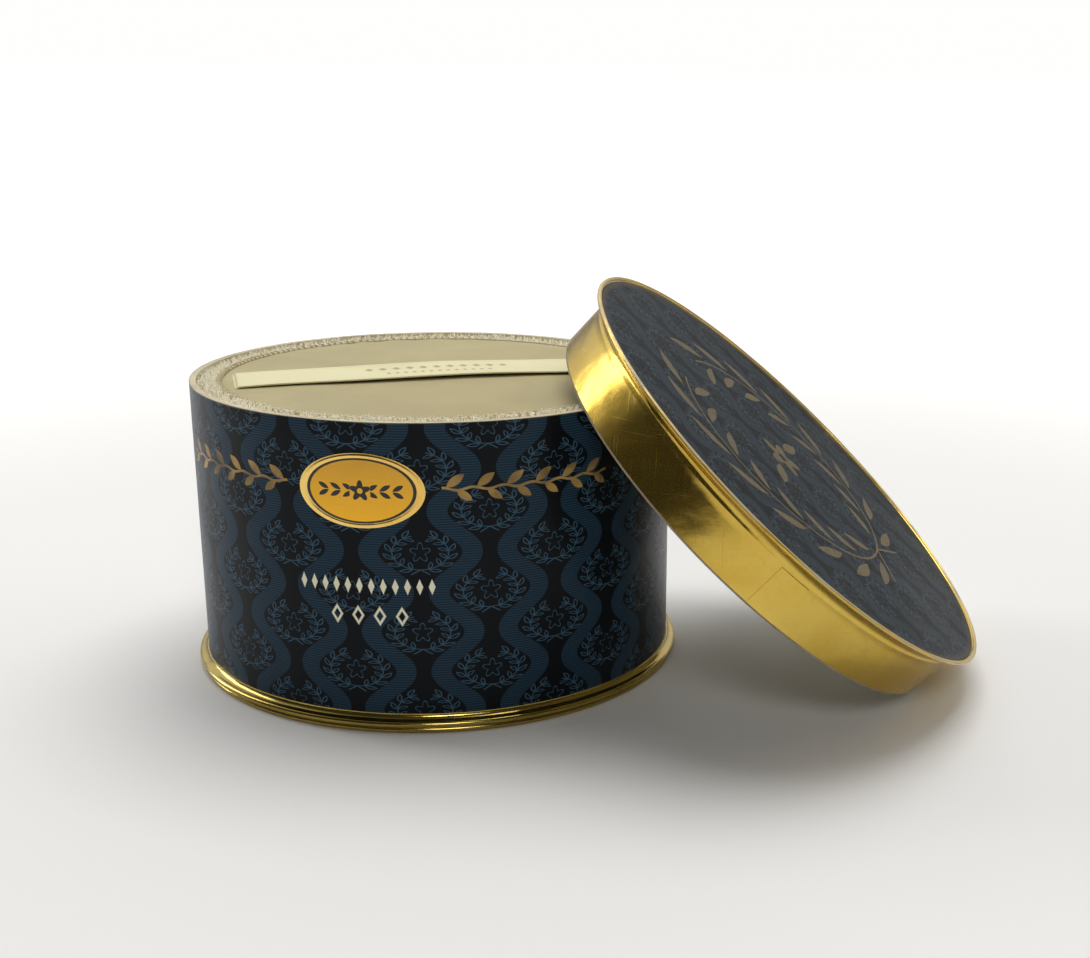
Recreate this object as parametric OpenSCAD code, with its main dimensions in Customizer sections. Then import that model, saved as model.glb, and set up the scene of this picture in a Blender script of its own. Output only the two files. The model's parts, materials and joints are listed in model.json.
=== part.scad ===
// Round board drum for dusting powder. It stands open, with a puff in its mouth, and its
// lift-off lid leans on the rim. Millimetres, +Z up, the drum's axis on Z and its base on z = 0.
// The label faces -Y, and the lid leans on the +X side with one edge on the table.

/* [Drum] */
// Outside diameter over the printed wrap
drum_d = 112; // [95:1:140]
// Height of the rim above the table
drum_h = 68; // [55:1:90]
// Thickness of the board wall
drum_wall = 1.1; // [0.8:0.1:2]
// Thickness of every paper and foil layer
paper_t = 0.15; // [0.1:0.05:0.25]
// Width of the wrap's glued lap, at the back
wrap_lap_w = 9; // [4:1:20]
// Width of the oval seal
label_w = 27; // [15:1:40]
// Height of the oval seal
label_h = 16; // [10:1:24]
// Depth of the seal's centre below the rim
label_drop = 14.5; // [13:0.5:24]

/* [Foot] */
// Height of the foil band at the foot
foot_h = 4; // [3.4:0.2:8]
// Height of the two round ridges under the flare
foot_ridges_h = 2.8; // [2:0.2:3]
// How far the flare stands out from the wrap
foot_flare = 2.2; // [1:0.1:3]
// How much less the lower ridge stands out than the upper one
foot_step = 0.5; // [0.2:0.1:0.8]
// Thickness of the hoop where it turns in under the wall
foot_turn_in_t = 0.8; // [0.5:0.1:1.2]
// Width of the hoop's flat face that the drum stands on
foot_face_w = 3; // [2:0.5:5]
// Thickness of the bottom board
base_t = 1.6; // [1:0.1:3]
// Thickness of the ring that holds the bottom board in
base_ring_t = 1.2; // [0.8:0.1:2]
// Width of that ring
base_ring_w = 4; // [3:0.5:8]

/* [Inside] */
// Thickness of the inner sleeve whose top edge carries the puff
sleeve_wall = 3; // [2:0.5:5]
// Empty height between the powder and the puff
powder_headroom = 12; // [6:1:20]

/* [Puff] */
// Gap between the puff and the ledge under it
ledge_gap = 0.1; // [0:0.1:0.5]
// Depth of the puff's woven face below the rim
puff_drop = 0.7; // [0.5:0.1:6]
// Gap between the puff and the drum's lining
puff_gap = 0.5; // [0.3:0.1:2]
// Thickness of the puff's pile pad
pile_t = 12.5; // [10:0.5:16]
// Radius of the pad's rounded edge
pile_round = 3; // [1:0.5:4]
// Thickness of pile round the padding inside
pile_depth = 4; // [3:0.5:4.5]
// Width of the pile border that shows round the woven face
pile_border_w = 4; // [2:0.5:6]
// Thickness of the woven face
face_t = 0.6; // [0.4:0.1:1]
// Thickness of the stitched edge round the face
binding_d = 1.2; // [0.8:0.1:1.6]
// Width of the ribbon
ribbon_w = 16.5; // [12:0.5:26]
// Thickness of the ribbon
ribbon_t = 0.4; // [0.3:0.1:0.8]
// How far each end of the ribbon is from the woven face's edge
ribbon_end_gap = 4; // [3:0.5:16]
// Height of the ribbon's slack over the face
ribbon_rise = 0.7; // [0.4:0.1:3]
// Direction of the ribbon, anticlockwise from +X
ribbon_turn = 25; // [0:1:90]
// Stitches in the row that holds each end
stitch_count = 6; // [3:1:9]
// Thickness of the thread
thread_d = 0.5; // [0.3:0.1:0.8]

/* [Lid] */
// Gap between the lid's lining and the drum's wrap
lid_gap = 0.3; // [0.2:0.05:1]
// Thickness of the skirt's board
lid_wall = 0.8; // [0.6:0.1:1.5]
// Height from the open edge to the top of the lip
lid_h = 15.4; // [14:0.2:24]
// Height of the flare under the lip
lip_flare_h = 2.5; // [1.5:0.1:4]
// How far the lip stands out from the skirt
lip_flare = 3.6; // [2:0.1:5]
// Thickness of the rolled lip
lip_t = 1; // [0.8:0.1:1.6]
// How far the lip leans in from its top to the printed face
lip_slope = 0.3; // [0.2:0.1:0.6]
// Depth of the printed face below the lip
face_drop = 0.6; // [0.5:0.05:0.7]
// Thickness of the top board
lid_board_t = 1.4; // [1:0.1:2.4]
// How far the foil stops short of the open edge
foil_set_back = 0.5; // [0.4:0.1:2]
// Width of the foil's glued lap
foil_lap_w = 7; // [4:1:15]
// Direction of the foil's lap round the lid, from its highest side
foil_lap_turn = 100; // [60:5:140]

/* [Leaning lid] */
// Direction of the two points where the lid hangs on the rim, each side of +X
hang_angle = 38.9; // [34:0.1:46]
// Gap between the drum's rim and the skirt that hangs on it
lean_gap = 0.3; // [0.3:0.05:1]

/* [Hidden] */
$fn = 96;
arc_steps = 8;

navy = [0.06, 0.09, 0.12];
gold = [0.62, 0.45, 0.14];
cream = [0.85, 0.80, 0.68];
board = [0.66, 0.56, 0.42];

// Drum, from the outside in
wrap_r = drum_d / 2;
board_r = wrap_r - paper_t;
wall_in_r = board_r - drum_wall;
liner_in_r = wall_in_r - paper_t;
base_z = foot_turn_in_t + base_ring_t;
base_top_z = base_z + base_t;
ridge_r = foot_ridges_h / 4;

// Inside
sleeve_in_r = liner_in_r - sleeve_wall;
sleeve_z = base_top_z + paper_t;

// Puff, which rests on the sleeve's top edge
face_top_z = drum_h - puff_drop;
puff_top_z = face_top_z - face_t;
puff_z = puff_top_z - pile_t;
puff_r = liner_in_r - puff_gap;
face_r = puff_r - pile_border_w;
ribbon_half = face_r - ribbon_end_gap;
ledge_z = puff_z - ledge_gap;

// Lid, in its own frame: open edge on z = 0, printed face upward
lid_in_r = wrap_r + lid_gap;
skirt_in_r = lid_in_r + paper_t;
skirt_r = skirt_in_r + lid_wall;
foil_r = skirt_r + paper_t;
print_z = lid_h - face_drop;
lid_board_top = print_z - paper_t;
lid_board_z = lid_board_top - lid_board_t;
lip_r = foil_r + lip_flare;
lip_mid_r = lip_r - lip_t / 2;
lip_mid_z = lid_h - lip_t / 2;
print_r = lip_r - lip_t - lip_slope;
lid_flare_z = lid_h - lip_t - lip_flare_h;

// The leaning lid touches the table with the skirt's edge and hangs on the rim at two points
rim_side = wrap_r * sin(hang_angle);
rim_up = sqrt(pow(lid_in_r - lean_gap, 2) - pow(rim_side, 2));
lean = asin(drum_h / (skirt_r + rim_up));
lid_x = wrap_r * cos(hang_angle) + rim_up * cos(lean);
lid_z = skirt_r * sin(lean);

// Points on an arc round c, from angle a to angle b
function arc(c, r, a, b) = [
    for (i = [0 : arc_steps])
        let (t = a + (b - a) * i / arc_steps)
            [c[0] + r * cos(t), c[1] + r * sin(t)]
];

// Trumpet curve that leaves the wall upright at z0 and reaches out by dr at z1
function trumpet(r0, z0, dr, z1) = [
    for (i = [0 : arc_steps])
        let (t = 90 * i / arc_steps)
            [r0 + dr * (1 - cos(t)), z0 + (z1 - z0) * sin(t)]
];

// Outside of the foot, from the wrap down to the table, moved in by t
function foot_outline(t) = concat(
    trumpet(wrap_r - t, foot_h, foot_flare - ridge_r + t, foot_ridges_h - t),
    arc([wrap_r + foot_flare - ridge_r, foot_ridges_h - ridge_r], ridge_r - t, 70, -60),
    arc([wrap_r + foot_flare - foot_step - ridge_r, ridge_r], ridge_r - t, 60, -80)
);

// Outside of the lid from the open edge over the lip to the printed face, moved in by t
function lip_outline(t) = concat(
    trumpet(foil_r - t, lid_flare_z, lip_flare - lip_t / 2 + t, lid_h - lip_t + t),
    arc([lip_mid_r, lip_mid_z], lip_t / 2 - t, -70, 180),
    [[print_r + t, lid_board_top]]
);

function reversed(list) = [for (i = [len(list) - 1 : -1 : 0]) list[i]];

function slack(x, rise, half) = rise * (1 - pow(x / half, 2));

module ring(r_out, r_in, z0, z1) {
    translate([0, 0, z0])
        difference() {
            cylinder(r = r_out, h = z1 - z0);
            translate([0, 0, -1]) cylinder(r = r_in, h = z1 - z0 + 2);
        }
}

module disc(r, z0, z1) {
    translate([0, 0, z0]) cylinder(r = r, h = z1 - z0);
}

module leaning() {
    translate([lid_x, 0, lid_z]) rotate([0, lean, 0]) children();
}

module drum_tube() {
    color(board) ring(board_r, wall_in_r, foot_turn_in_t, drum_h);
}

module drum_wrap() {
    color(navy) {
        ring(wrap_r, board_r, foot_h, drum_h);
        intersection() {
            ring(wrap_r + paper_t, board_r, foot_h, drum_h);
            translate([-wrap_lap_w / 2, 0, 0]) cube([wrap_lap_w, drum_d, drum_h]);
        }
    }
}

module drum_liner() {
    color(cream) ring(wall_in_r, liner_in_r, sleeve_z, drum_h);
}

module oval_seal() {
    oval = [for (a = [0 : 7.5 : 352.5]) [label_w / 2 * cos(a), label_h / 2 * sin(a)]];
    color(gold)
        intersection() {
            ring(wrap_r + paper_t, wrap_r, 0, drum_h);
            translate([0, 0, drum_h - label_drop])
                rotate([90, 0, 0]) linear_extrude(drum_d) polygon(oval);
        }
}

module foot_hoop() {
    face_in_r = wrap_r + foot_flare - foot_step - ridge_r - foot_face_w;
    color(board)
        rotate_extrude()
            polygon(concat(
                foot_outline(paper_t),
                [
                    [face_in_r + foot_face_w, 0],
                    [face_in_r, 0],
                    [face_in_r, foot_turn_in_t],
                    [board_r, foot_turn_in_t]
                ]
            ));
}

module foot_foil() {
    color(gold)
        rotate_extrude()
            polygon(concat(foot_outline(0), reversed(foot_outline(paper_t))));
}

module base_board() {
    color(board) disc(wall_in_r, base_z, base_top_z);
}

module base_ring() {
    color(board) ring(wall_in_r, wall_in_r - base_ring_w, foot_turn_in_t, base_z - paper_t);
}

module base_outer_paper() {
    color(navy) disc(wall_in_r, base_z - paper_t, base_z);
}

module base_lining() {
    color(cream) disc(wall_in_r, base_top_z, sleeve_z);
}

module inner_sleeve() {
    color(board) ring(liner_in_r, sleeve_in_r, sleeve_z, ledge_z);
}

module powder_fill() {
    color("white") disc(sleeve_in_r, sleeve_z, ledge_z - powder_headroom);
}

// Cross-section of a round pad of radius r between z0 and z1, with both corners rounded
module pad_section(r, z0, z1, round_r) {
    polygon(concat(
        [[0, z0]],
        arc([r - round_r, z0 + round_r], round_r, -90, 0),
        arc([r - round_r, z1 - round_r], round_r, 0, 90),
        [[0, z1]]
    ));
}

module puff_pile() {
    color([0.80, 0.74, 0.62])
        rotate_extrude()
            difference() {
                pad_section(puff_r, puff_z, puff_top_z, pile_round);
                pad_section(
                    puff_r - pile_depth, puff_z + pile_depth, puff_top_z - pile_depth, pile_round / 2
                );
            }
}

module puff_filling() {
    color("ivory")
        rotate_extrude()
            pad_section(puff_r - pile_depth, puff_z + pile_depth, puff_top_z - pile_depth, pile_round / 2);
}

module puff_face() {
    color([0.72, 0.66, 0.46]) disc(face_r - binding_d, puff_top_z, face_top_z);
}

module puff_binding() {
    color([0.66, 0.59, 0.40])
        rotate_extrude()
            translate([face_r - binding_d / 2, puff_top_z + binding_d / 2]) circle(d = binding_d, $fn = 24);
}

// Puts a shape drawn in the ribbon's length and height across the puff
module along_ribbon(width) {
    rotate([0, 0, ribbon_turn])
        translate([0, width / 2, face_top_z])
            rotate([90, 0, 0]) linear_extrude(width) children();
}

module puff_ribbon() {
    steps = 24;
    xs = [for (i = [0 : steps]) ribbon_half * (2 * i / steps - 1)];
    lower = [for (x = xs) [x, slack(x, ribbon_rise, ribbon_half)]];
    upper = [for (x = reversed(xs)) [x, slack(x, ribbon_rise, ribbon_half) + ribbon_t]];
    color([0.90, 0.87, 0.68]) along_ribbon(ribbon_w) polygon(concat(lower, upper));
}

module ribbon_stitches() {
    pitch = ribbon_w / stitch_count;
    color([0.75, 0.70, 0.50])
        rotate([0, 0, ribbon_turn])
            for (side = [-1, 1], i = [0 : stitch_count - 1])
                translate([side * (ribbon_half + thread_d / 2), (i + 0.5) * pitch - ribbon_w / 2, face_top_z])
                    translate([-thread_d / 2, -pitch / 3, 0]) cube([thread_d, pitch * 2 / 3, ribbon_t + 0.2]);
}

module lid_skirt() {
    color(board) leaning() ring(skirt_r, skirt_in_r, 0, lid_board_z);
}

module lid_foil() {
    color(gold)
        leaning() {
            rotate_extrude()
                polygon(concat(
                    [[skirt_r, foil_set_back], [foil_r, foil_set_back]],
                    lip_outline(0),
                    reversed(lip_outline(paper_t))
                ));
            rotate([0, 0, 180 + foil_lap_turn])
                intersection() {
                    ring(foil_r + paper_t, skirt_r, foil_set_back, lid_flare_z);
                    translate([0, -foil_lap_w / 2, 0]) cube([lip_r * 2, foil_lap_w, lid_h]);
                }
        }
}

module lid_lip_hoop() {
    color(board)
        leaning()
            rotate_extrude()
                polygon(concat(lip_outline(paper_t), [[skirt_r, lid_board_top]]));
}

module lid_board() {
    color(board) leaning() disc(skirt_r, lid_board_z, lid_board_top);
}

module lid_print() {
    color(navy) leaning() disc(print_r, lid_board_top, print_z);
}

module lid_lining() {
    color(cream) leaning() ring(skirt_in_r, lid_in_r, 0, lid_board_z - paper_t);
}

module lid_inner_paper() {
    color(cream) leaning() disc(skirt_in_r, lid_board_z - paper_t, lid_board_z);
}

drum_tube();
drum_wrap();
drum_liner();
oval_seal();
foot_hoop();
foot_foil();
base_board();
base_ring();
base_outer_paper();
base_lining();
inner_sleeve();
powder_fill();
puff_pile();
puff_filling();
puff_face();
puff_binding();
puff_ribbon();
ribbon_stitches();
lid_skirt();
lid_foil();
lid_lip_hoop();
lid_board();
lid_print();
lid_lining();
lid_inner_paper();
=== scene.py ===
# %% [markdown]
# # An open drum of dusting powder
# The drum is board, wrapped in lacquered navy paper and shod with gold foil. A cream puff lies in
# its mouth, and the foil-edged lid leans on the rim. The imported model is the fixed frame: it gives
# every size and place, and each cell below adds a skin, a piece of cloth or a finish to it.

# %% Load the frame
import json
import math

import bpy
from mathutils import Euler, Matrix, Vector


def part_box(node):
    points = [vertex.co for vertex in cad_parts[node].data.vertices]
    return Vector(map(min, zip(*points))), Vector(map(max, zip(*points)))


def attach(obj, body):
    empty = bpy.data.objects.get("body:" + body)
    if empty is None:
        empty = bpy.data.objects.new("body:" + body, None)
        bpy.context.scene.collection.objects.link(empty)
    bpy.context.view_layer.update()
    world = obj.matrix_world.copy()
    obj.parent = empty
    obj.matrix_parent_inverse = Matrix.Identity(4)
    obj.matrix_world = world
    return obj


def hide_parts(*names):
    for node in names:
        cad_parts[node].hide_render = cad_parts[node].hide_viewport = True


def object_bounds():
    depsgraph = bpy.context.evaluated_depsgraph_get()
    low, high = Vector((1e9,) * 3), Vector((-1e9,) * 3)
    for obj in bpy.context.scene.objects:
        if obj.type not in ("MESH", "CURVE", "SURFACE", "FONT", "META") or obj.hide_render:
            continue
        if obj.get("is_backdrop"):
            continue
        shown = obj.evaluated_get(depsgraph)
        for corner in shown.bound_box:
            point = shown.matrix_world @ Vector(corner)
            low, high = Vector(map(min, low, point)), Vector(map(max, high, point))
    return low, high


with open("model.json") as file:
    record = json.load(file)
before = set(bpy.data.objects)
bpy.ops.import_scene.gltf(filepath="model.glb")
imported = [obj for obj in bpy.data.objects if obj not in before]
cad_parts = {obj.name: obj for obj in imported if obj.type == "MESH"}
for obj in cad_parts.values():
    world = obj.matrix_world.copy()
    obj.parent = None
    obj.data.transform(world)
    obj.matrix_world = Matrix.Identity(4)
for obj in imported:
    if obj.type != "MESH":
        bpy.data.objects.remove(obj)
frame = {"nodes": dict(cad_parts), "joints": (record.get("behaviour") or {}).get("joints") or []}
cad_low, cad_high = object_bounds()
nodes = frame["nodes"]
mm = 0.001
print("frame", [round(v / mm, 1) for v in (*cad_low, *cad_high)])

# %% [markdown]
# ## Sizes
# A box of a CAD node gives its radius and height, so nothing is typed in twice. The lid is turned
# about the Y axis, and its joint's axis says by how much, so one matrix carries a piece from the
# lid's own upright place to where it leans.

# %% Sizes and the lid's place
drum_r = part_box("drum_wrap")[1].x
rim_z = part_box("drum_tube")[1].z
foot_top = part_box("foot_foil")[1].z
foot_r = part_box("foot_foil")[1].x
puff_low, puff_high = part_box("puff_pile")
face_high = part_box("puff_face")[1].z
seal_low, seal_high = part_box("oval_seal")
powder_low, powder_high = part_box("powder_fill")

lid_axis = next(j["axis"] for j in frame["joints"] if j["name"] == "lid_lift")
lean = math.atan2(lid_axis[0], lid_axis[2])
skirt_low, skirt_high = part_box("lid_skirt")
skirt_r = skirt_high.y
lid_centre = Vector((
    skirt_low.x + skirt_r * math.cos(lean),
    0,
    skirt_low.z + skirt_r * math.sin(lean),
))
lid_place = Matrix.Translation(lid_centre) @ Matrix.Rotation(lean, 4, "Y")


def lid_heights(node):
    """Lowest and highest place of a node along the lid's own axis, above its open edge."""
    up = Vector(lid_axis)
    along = [(v.co - lid_centre).dot(up) for v in nodes[node].data.vertices]
    return min(along), max(along)


foil_low, lid_h = lid_heights("lid_foil")
print_low = lid_heights("lid_print")[0]
lip_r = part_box("lid_foil")[1].y
print_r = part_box("lid_print")[1].y
print("lean", round(math.degrees(lean), 2), "lid height", round(lid_h / mm, 2))
print("lip radius", round(lip_r / mm, 2))

# %% [markdown]
# ## Camera
# The viewer stands a little to the right of the label and looks slightly down. Placing the camera
# by its distance, height and three angles is plainer than pointing it at something, because the
# drum isn't in the middle of the view.

# %% Camera
view_side = math.radians(16.47)
view_out = 368.1 * mm
view_up = 138.3 * mm
aim_turn = math.radians(8.18)
aim_down = math.radians(17.54)
aim_roll = math.radians(0.82)

forward = Vector((
    -math.sin(aim_turn) * math.cos(aim_down),
    math.cos(aim_turn) * math.cos(aim_down),
    -math.sin(aim_down),
))
level = Vector((math.cos(aim_turn), math.sin(aim_turn), 0))
across = math.cos(aim_roll) * level + math.sin(aim_roll) * level.cross(forward)
upward = across.cross(forward)
camera_data = bpy.data.cameras.new("camera")
camera_data.sensor_width = 36
camera_data.lens = 51.24
camera_data.shift_x = -0.101
camera_data.shift_y = 0.069
camera_data.clip_start = 0.01
camera = bpy.data.objects.new("camera", camera_data)
bpy.context.scene.collection.objects.link(camera)
turn = Matrix((across, upward, -forward)).transposed().to_4x4()
spot = Vector((view_out * math.sin(view_side), -view_out * math.cos(view_side), view_up))
camera.matrix_world = Matrix.Translation(spot) @ turn
bpy.context.scene.camera = camera
print("camera", [round(v, 3) for v in spot])

# %% [markdown]
# ## Studio
# Gold foil and lacquer show what they reflect more than their own colour. So the light is one wide
# soft panel above, a tall one on the left for the streak down the drum's side, and a weak one in
# front, over a pale floor. The world is bright behind and dim in front, as in a room with one
# window, so that the foil has something dark to show between its highlights. The camera itself sees
# a white world and a floor that glows further out, so the backdrop is pale from every side.

# %% Studio helpers and lights
scene = bpy.context.scene
scene.view_settings.view_transform = "Standard"


def bare():
    """Leaves edit mode and deselects everything, because the CAD nodes come in selected."""
    if bpy.context.object and bpy.context.object.mode != "OBJECT":
        bpy.ops.object.mode_set(mode="OBJECT")
    bpy.ops.object.select_all(action="DESELECT")


def panel(name, place, target, width, height, watts, tint=(1, 1, 1)):
    """A soft rectangular light that faces target."""
    light = bpy.data.lights.new(name, "AREA")
    light.shape = "RECTANGLE"
    light.size, light.size_y = width, height
    light.energy = watts
    light.color = tint
    lamp = bpy.data.objects.new(name, light)
    scene.collection.objects.link(lamp)
    lamp.location = place
    lamp.rotation_euler = (Vector(target) - Vector(place)).to_track_quat("-Z", "Y").to_euler()
    return lamp


middle = Vector((0.03, 0, 0.04))
panel("top_panel", (0.10, 0.35, 1.10), middle, 0.8, 0.8, 7.5)
panel("left_panel", (-0.95, 0.25, 0.45), middle, 0.30, 0.8, 3.5)
panel("front_panel", (0.35, -1.0, 0.75), middle, 0.35, 0.35, 3.0)

# %% Room and floor
def ramp(tree, value, low, high, first, last):
    """A smooth step between two numbers, as a socket."""
    node = tree.nodes.new("ShaderNodeMapRange")
    node.interpolation_type = "SMOOTHSTEP"
    node.inputs["From Min"].default_value = low
    node.inputs["From Max"].default_value = high
    node.inputs["To Min"].default_value = first
    node.inputs["To Max"].default_value = last
    tree.links.new(value, node.inputs["Value"])
    return node.outputs["Result"]


def combine(tree, operation, first, second):
    """Two sockets through one Math node."""
    node = tree.nodes.new("ShaderNodeMath")
    node.operation = operation
    tree.links.new(first, node.inputs[0])
    tree.links.new(second, node.inputs[1])
    return node.outputs[0]


world = bpy.data.worlds.new("studio")
scene.world = world
world.use_nodes = True
room = world.node_tree
ways = room.nodes.new("ShaderNodeSeparateXYZ")
room.links.new(room.nodes.new("ShaderNodeTexCoord").outputs["Generated"], ways.inputs["Vector"])
behind = ramp(room, ways.outputs["Y"], -0.30, 0.55, 0.05, 1.0)
overhead = ramp(room, ways.outputs["Z"], 0.0, 0.45, 0.22, 1.0)
seen = room.nodes.new("ShaderNodeLightPath").outputs["Is Camera Ray"]
strength = combine(room, "MAXIMUM", combine(room, "MULTIPLY", behind, overhead), seen)
room.links.new(strength, room.nodes["Background"].inputs["Strength"])
room.nodes["Background"].inputs["Color"].default_value = (1, 0.995, 0.985, 1)

bare()
bpy.ops.mesh.primitive_plane_add(size=60, location=(0, 0, 0))
floor = bpy.context.object
floor.name = "floor"
pale = bpy.data.materials.new("pale_floor")
pale.use_nodes = True
tree = pale.node_tree
shader = tree.nodes["Principled BSDF"]
shader.inputs["Base Color"].default_value = (0.80, 0.79, 0.77, 1)
shader.inputs["Roughness"].default_value = 0.9
shader.inputs["Emission Color"].default_value = (1, 0.995, 0.985, 1)
distance = tree.nodes.new("ShaderNodeVectorMath")
distance.operation = "LENGTH"
tree.links.new(tree.nodes.new("ShaderNodeTexCoord").outputs["Object"], distance.inputs[0])
far = ramp(tree, distance.outputs["Value"], 0.15, 0.9, 0.0, 0.8)
seen = tree.nodes.new("ShaderNodeLightPath").outputs["Is Camera Ray"]
tree.links.new(combine(tree, "MULTIPLY", far, seen), shader.inputs["Emission Strength"])
floor.data.materials.append(pale)
floor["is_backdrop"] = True

# %% [markdown]
# ## Writing patterns as arithmetic
# A printed pattern is a formula over the surface. Math nodes can hold any formula, but placing them
# one by one hides it. This small class wraps one socket and turns +, -, * and / into Math nodes, so
# the formulas below read as they would on paper. Most of them end in a distance, which is negative
# inside a shape and positive outside, and inked() turns that into a mask.

# %% Arithmetic on sockets
class Wire:
    """A value in a node tree. Arithmetic on it adds Math nodes."""

    def __init__(self, tree, socket):
        self.tree = tree
        self.socket = socket

    def math(self, operation, *others):
        node = self.tree.nodes.new("ShaderNodeMath")
        node.operation = operation
        for slot, value in zip(node.inputs, (self, *others)):
            feed(self.tree, slot, value)
        return Wire(self.tree, node.outputs[0])

    def __add__(self, other):
        return self.math("ADD", other)

    def __sub__(self, other):
        return self.math("SUBTRACT", other)

    def __mul__(self, other):
        return self.math("MULTIPLY", other)

    def __truediv__(self, other):
        return self.math("DIVIDE", other)

    def __abs__(self):
        return self.math("ABSOLUTE")

    def root(self):
        return self.math("SQRT")

    def cos(self):
        return self.math("COSINE")

    def sin(self):
        return self.math("SINE")

    def least(self, other):
        return self.math("MINIMUM", other)

    def most(self, other):
        return self.math("MAXIMUM", other)

    def below(self, other):
        return self.math("LESS_THAN", other)

    def folded(self, period):
        """The distance from the nearest multiple of period, with its sign."""
        return self - (self / period).math("ROUND") * period

    def inked(self, blur=0.05):
        """1 where this distance is negative and 0 where it is positive, over a soft edge."""
        mask = self * (-1 / blur) + 0.5
        node = mask.socket.node
        node.use_clamp = True
        return mask


def feed(tree, slot, value):
    """Links a wire to a socket, or sets the socket's own value."""
    if isinstance(value, Wire):
        tree.links.new(value.socket, slot)
    else:
        slot.default_value = value


def group(name, inputs, outputs):
    """A new node group with float or vector sockets. Returns its tree, inputs and a setter."""
    tree = bpy.data.node_groups.new(name, "ShaderNodeTree")
    for label, default in inputs.items():
        kind = "NodeSocketVector" if default is None else "NodeSocketFloat"
        socket = tree.interface.new_socket(name=label, in_out="INPUT", socket_type=kind)
        if default is not None:
            socket.default_value = default
    for label in outputs:
        tree.interface.new_socket(name=label, in_out="OUTPUT", socket_type="NodeSocketFloat")
    start = tree.nodes.new("NodeGroupInput")
    end = tree.nodes.new("NodeGroupOutput")
    wires = {label: Wire(tree, start.outputs[label]) for label in inputs}

    def put(label, value):
        feed(tree, end.inputs[label], value)

    return tree, wires, put


def use(tree, name, **values):
    """Places a node group and returns its outputs as wires. Underscores stand for spaces."""
    node = tree.nodes.new("ShaderNodeGroup")
    node.node_tree = bpy.data.node_groups[name]
    for label, value in values.items():
        feed(tree, node.inputs[label.replace("_", " ")], value)
    return {socket.name: Wire(tree, socket) for socket in node.outputs}


# %% [markdown]
# ## Leaves
# The print is full of laurel: small outlined wreaths on the paper, gold sprays beside the label and
# one big wreath on the lid. They all use one leaf, the space between two arcs, so the leaf is a
# group. It gives the distance to the leaf's edge: negative inside, positive outside.

# %% Leaf and laurel groups
tree, given, put = group(
    "leaf_edge", {"Along": 0.0, "Across": 0.0, "Length": 1.0, "Width": 0.4, "Tilt": 0.7}, ["Distance"]
)
lean_cos, lean_sin = given["Tilt"].cos(), given["Tilt"].sin()
down_leaf = given["Along"] * lean_cos + given["Across"] * lean_sin
over_leaf = given["Across"] * lean_cos - given["Along"] * lean_sin
bulge = (down_leaf / given["Length"]).math("POWER", 2.0)
put("Distance", abs(over_leaf) - given["Width"] * (bulge * -1 + 1))

tree, given, put = group(
    "laurel",
    {"X": 0.0, "Y": 0.0, "Half width": 5.9, "Half height": 3.75, "Pairs": 7.0, "Leaf": 1.0, "Line": 0.12,
     "Fill": 0.0, "Slim": 0.36, "Tilt": 0.75},
    ["Ink"],
)
side, rise = abs(given["X"]), given["Y"]
out_x, out_y = side / given["Half width"], rise / given["Half height"]
reach = (out_x * out_x + out_y * out_y).root()
swing = out_x.math("ARCTAN2", out_y * -1)
size = (given["Half width"] + given["Half height"]) * 0.5
step = size * math.pi / given["Pairs"]
past_stem = (reach - 1) * size
along_stem = (swing * size).folded(step)
leaf = use(
    tree, "leaf_edge", Along=along_stem, Across=abs(past_stem) - given["Leaf"] * 0.85,
    Length=given["Leaf"], Width=given["Leaf"] * given["Slim"], Tilt=given["Tilt"],
)["Distance"]
outline = abs(leaf) - given["Line"]
leaf_ink = (outline * (given["Fill"] * -1 + 1) + leaf * given["Fill"]).inked()
stem_ink = (abs(past_stem) - given["Line"]).inked()
first_leaf, last_leaf, stem_end = 0.2, 2.95, 2.85
leaf_place = swing - along_stem / size
leaf_ink = leaf_ink * leaf_place.below(last_leaf) * (leaf_place * -1).below(-first_leaf)
stem_ink = stem_ink * swing.below(stem_end)
crossing = abs((rise + given["Half height"]) + side * 0.55) - given["Line"] * 1.2
crossing_ink = crossing.inked() * (side / given["Half width"]).below(0.34)
put("Ink", leaf_ink.most(stem_ink).most(crossing_ink))

# %% [markdown]
# ## The paper's repeat
# Wreaths stand in staggered columns, and a hatched ribbon winds up between each two columns, round
# the wreath on its left and then the wreath on its right. Folding the two directions by the repeat
# gives every wreath the same small set of coordinates, so one wreath is enough. A wreath is wider
# than its column, so the nearer of the two staggered grids is chosen.

# %% Repeat group
columns_round = 24
column = drum_r * 2 * math.pi / columns_round / mm
row = 17.8
wreath_wide, wreath_high = 8.2, 5.6
swing_out, band_half = 3.6, 2.15
tree, given, put = group("navy_repeat", {"U": 0.0, "V": 0.0}, ["Band", "Wreath"])
u, v = given["U"], given["V"]
near_u, near_v = u.folded(2 * column), v.folded(row)
far_u, far_v = (u - column).folded(2 * column), (v - row / 2).folded(row)


def spread(x, y):
    """How far a point is from a wreath's centre, in wreath sizes."""
    return (x / wreath_wide) * (x / wreath_wide) + (y / wreath_high) * (y / wreath_high)


second = spread(far_u, far_v).below(spread(near_u, near_v))
x = near_u + (far_u - near_u) * second
y = near_v + (far_v - near_v) * second
wreath = use(tree, "laurel", X=x, Y=y)["Ink"]
petals = (x * x + y * y).root() - (x.math("ARCTAN2", y) * 5).cos() * 0.55 - 1.6
put("Wreath", wreath.most((abs(petals) - 0.13).inked()))

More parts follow.
